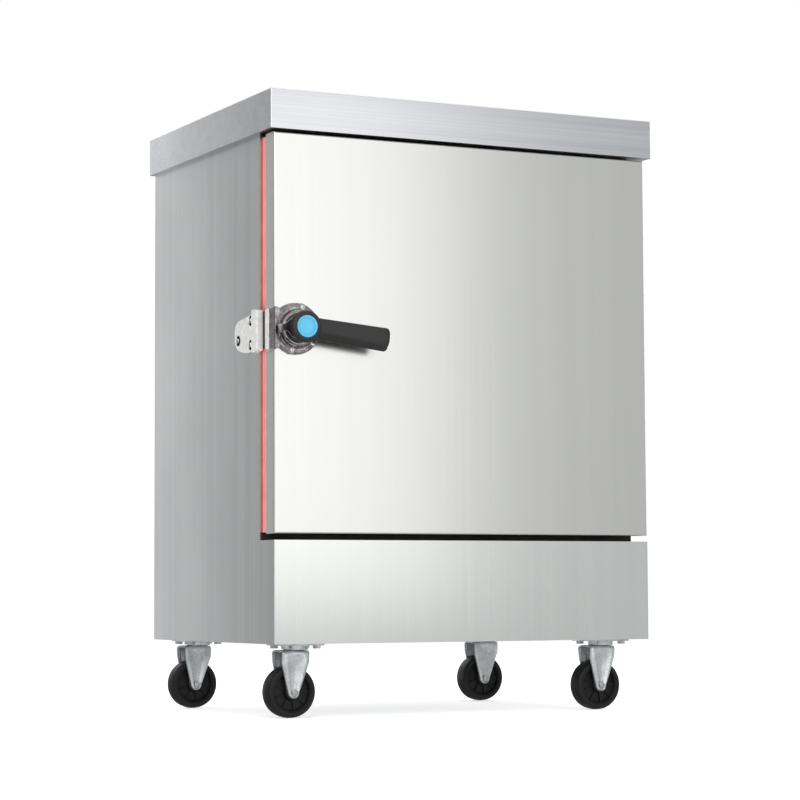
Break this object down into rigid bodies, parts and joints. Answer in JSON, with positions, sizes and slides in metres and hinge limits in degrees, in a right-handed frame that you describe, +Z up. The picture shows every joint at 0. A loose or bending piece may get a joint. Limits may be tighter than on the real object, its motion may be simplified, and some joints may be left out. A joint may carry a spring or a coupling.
{
  "type": "proofing cabinet",
  "caption": "Upright sheet-steel proofing cabinet on swivel casters with a gasketed side-hung door, a lever latch, tray runners and a heated water tank.",
  "frame": {"origin": "on the floor, under the centre of the cabinet body", "axes": "+Z up, -Y towards the door, +X to the right of a person who faces the door, where its hinges are"},
  "size_m": [0.7329, 0.6249, 1.0165],
  "materials": {
    "outer_steel": "brushed",
    "plain_steel": "satin",
    "liner_steel": "satin",
    "foam": "foamed",
    "silicone": "matte",
    "cast_metal": "polished casting",
    "zinc_steel": "zinc plated",
    "black_plastic": "satin",
    "blue_plastic": "gloss",
    "wheel_rubber": "satin",
    "sheath": "oxidised",
    "fitting_brass": "cast and turned",
    "red_lever": "dipped",
    "vent_steel": "satin",
    "grey_box": "moulded",
    "plate_metal": "anodised"
  },
  "bodies": {
    "cabinet": {"left_side_panel": "outer_steel", "right_side_panel": "outer_steel", "back_panel": "outer_steel", "base_front_panel": "outer_steel", "top_cap": "outer_steel", "base_deck": "plain_steel", "base_floor": "plain_steel", "stiffener_channels": "plain_steel", "face_frame": "plain_steel", "steam_baffle": "plain_steel", "tray_rack_left": "plain_steel", "tray_rack_right": "plain_steel", "liner_left": "liner_steel", "liner_right": "liner_steel", "liner_back": "liner_steel", "liner_top": "liner_steel", "liner_floor": "liner_steel", "water_tank": "liner_steel", "cabinet_insulation": "foam", "latch_strike": "cast_metal", "caster_plates": "zinc_steel", "caster_bolts": "zinc_steel", "cabinet_screws": "zinc_steel", "hinge_fixed_leaves": "zinc_steel", "hinge_pins": "zinc_steel", "switch_housing": "black_plastic", "cable_gland": "black_plastic", "thermostat_unit": "black_plastic", "heating_element": "sheath", "water_inlet_pipe": "fitting_brass", "drain_pipe": "fitting_brass", "drain_valve": "fitting_brass", "steam_vent": "vent_steel", "terminal_box": "grey_box", "control_plate": "plate_metal"},
    "door": {"door_skin": "outer_steel", "door_insulation": "foam", "door_liner": "liner_steel", "door_gasket": "silicone", "hinge_door_leaves": "zinc_steel", "door_screws": "zinc_steel", "latch_rose": "cast_metal"},
    "lever": {"latch_cam": "cast_metal", "latch_lever": "black_plastic", "latch_disc": "blue_plastic"},
    "drain_lever": {"drain_handle": "red_lever"},
    "knob": {"thermostat_knob": "black_plastic"},
    "rocker": {"power_rocker": "black_plastic"},
    "fork_front_left": {"caster_front_left_fork": "zinc_steel", "caster_front_left_axle": "zinc_steel"},
    "wheel_front_left": {"caster_front_left_wheel": "wheel_rubber"},
    "fork_front_right": {"caster_front_right_fork": "zinc_steel", "caster_front_right_axle": "zinc_steel"},
    "wheel_front_right": {"caster_front_right_wheel": "wheel_rubber"},
    "fork_rear_left": {"caster_rear_left_fork": "zinc_steel", "caster_rear_left_axle": "zinc_steel"},
    "wheel_rear_left": {"caster_rear_left_wheel": "wheel_rubber"},
    "fork_rear_right": {"caster_rear_right_fork": "zinc_steel", "caster_rear_right_axle": "zinc_steel"},
    "wheel_rear_right": {"caster_rear_right_wheel": "wheel_rubber"}
  },
  "joints": [
    {"name": "door_swing", "type": "hinge", "parent": "cabinet", "child": "door", "pos_m": [0.359, -0.22, 0.3], "axis": [0, 0, 1], "range_deg": [0, 180]},
    {"name": "lever_turn", "type": "hinge", "parent": "door", "child": "lever", "pos_m": [-0.313, -0.29, 0.627], "axis": [0, -1, 0], "range_deg": [0, 90]},
    {"name": "swivel_front_left", "type": "hinge", "parent": "cabinet", "child": "fork_front_left", "pos_m": [-0.288, -0.209, 0.108], "axis": [0, 0, 1], "continuous": true},
    {"name": "roll_front_left", "type": "hinge", "parent": "fork_front_left", "child": "wheel_front_left", "pos_m": [-0.3, -0.209, 0.0425], "axis": [0, 1, 0], "continuous": true},
    {"name": "swivel_front_right", "type": "hinge", "parent": "cabinet", "child": "fork_front_right", "pos_m": [0.288, -0.209, 0.108], "axis": [0, 0, 1], "continuous": true},
    {"name": "roll_front_right", "type": "hinge", "parent": "fork_front_right", "child": "wheel_front_right", "pos_m": [0.276, -0.209, 0.0425], "axis": [0, 1, 0], "continuous": true},
    {"name": "swivel_rear_left", "type": "hinge", "parent": "cabinet", "child": "fork_rear_left", "pos_m": [-0.288, 0.209, 0.108], "axis": [0, 0, 1], "continuous": true},
    {"name": "roll_rear_left", "type": "hinge", "parent": "fork_rear_left", "child": "wheel_rear_left", "pos_m": [-0.3, 0.209, 0.0425], "axis": [0, 1, 0], "continuous": true},
    {"name": "swivel_rear_right", "type": "hinge", "parent": "cabinet", "child": "fork_rear_right", "pos_m": [0.288, 0.209, 0.108], "axis": [0, 0, 1], "continuous": true},
    {"name": "roll_rear_right", "type": "hinge", "parent": "fork_rear_right", "child": "wheel_rear_right", "pos_m": [0.276, 0.209, 0.0425], "axis": [0, 1, 0], "continuous": true},
    {"name": "drain_turn", "type": "hinge", "parent": "cabinet", "child": "drain_lever", "pos_m": [0.175, 0.291, 0.232], "axis": [0, 0, 1], "range_deg": [0, 90]},
    {"name": "thermostat_turn", "type": "hinge", "parent": "cabinet", "child": "knob", "pos_m": [0.355, -0.0275, 0.2035], "axis": [1, 0, 0], "range_deg": [0, 270]},
    {"name": "rocker_tip", "type": "hinge", "parent": "cabinet", "child": "rocker", "pos_m": [0.346, 0.0755, 0.2035], "axis": [0, -1, 0], "range_deg": [0, 12]}
  ]
}
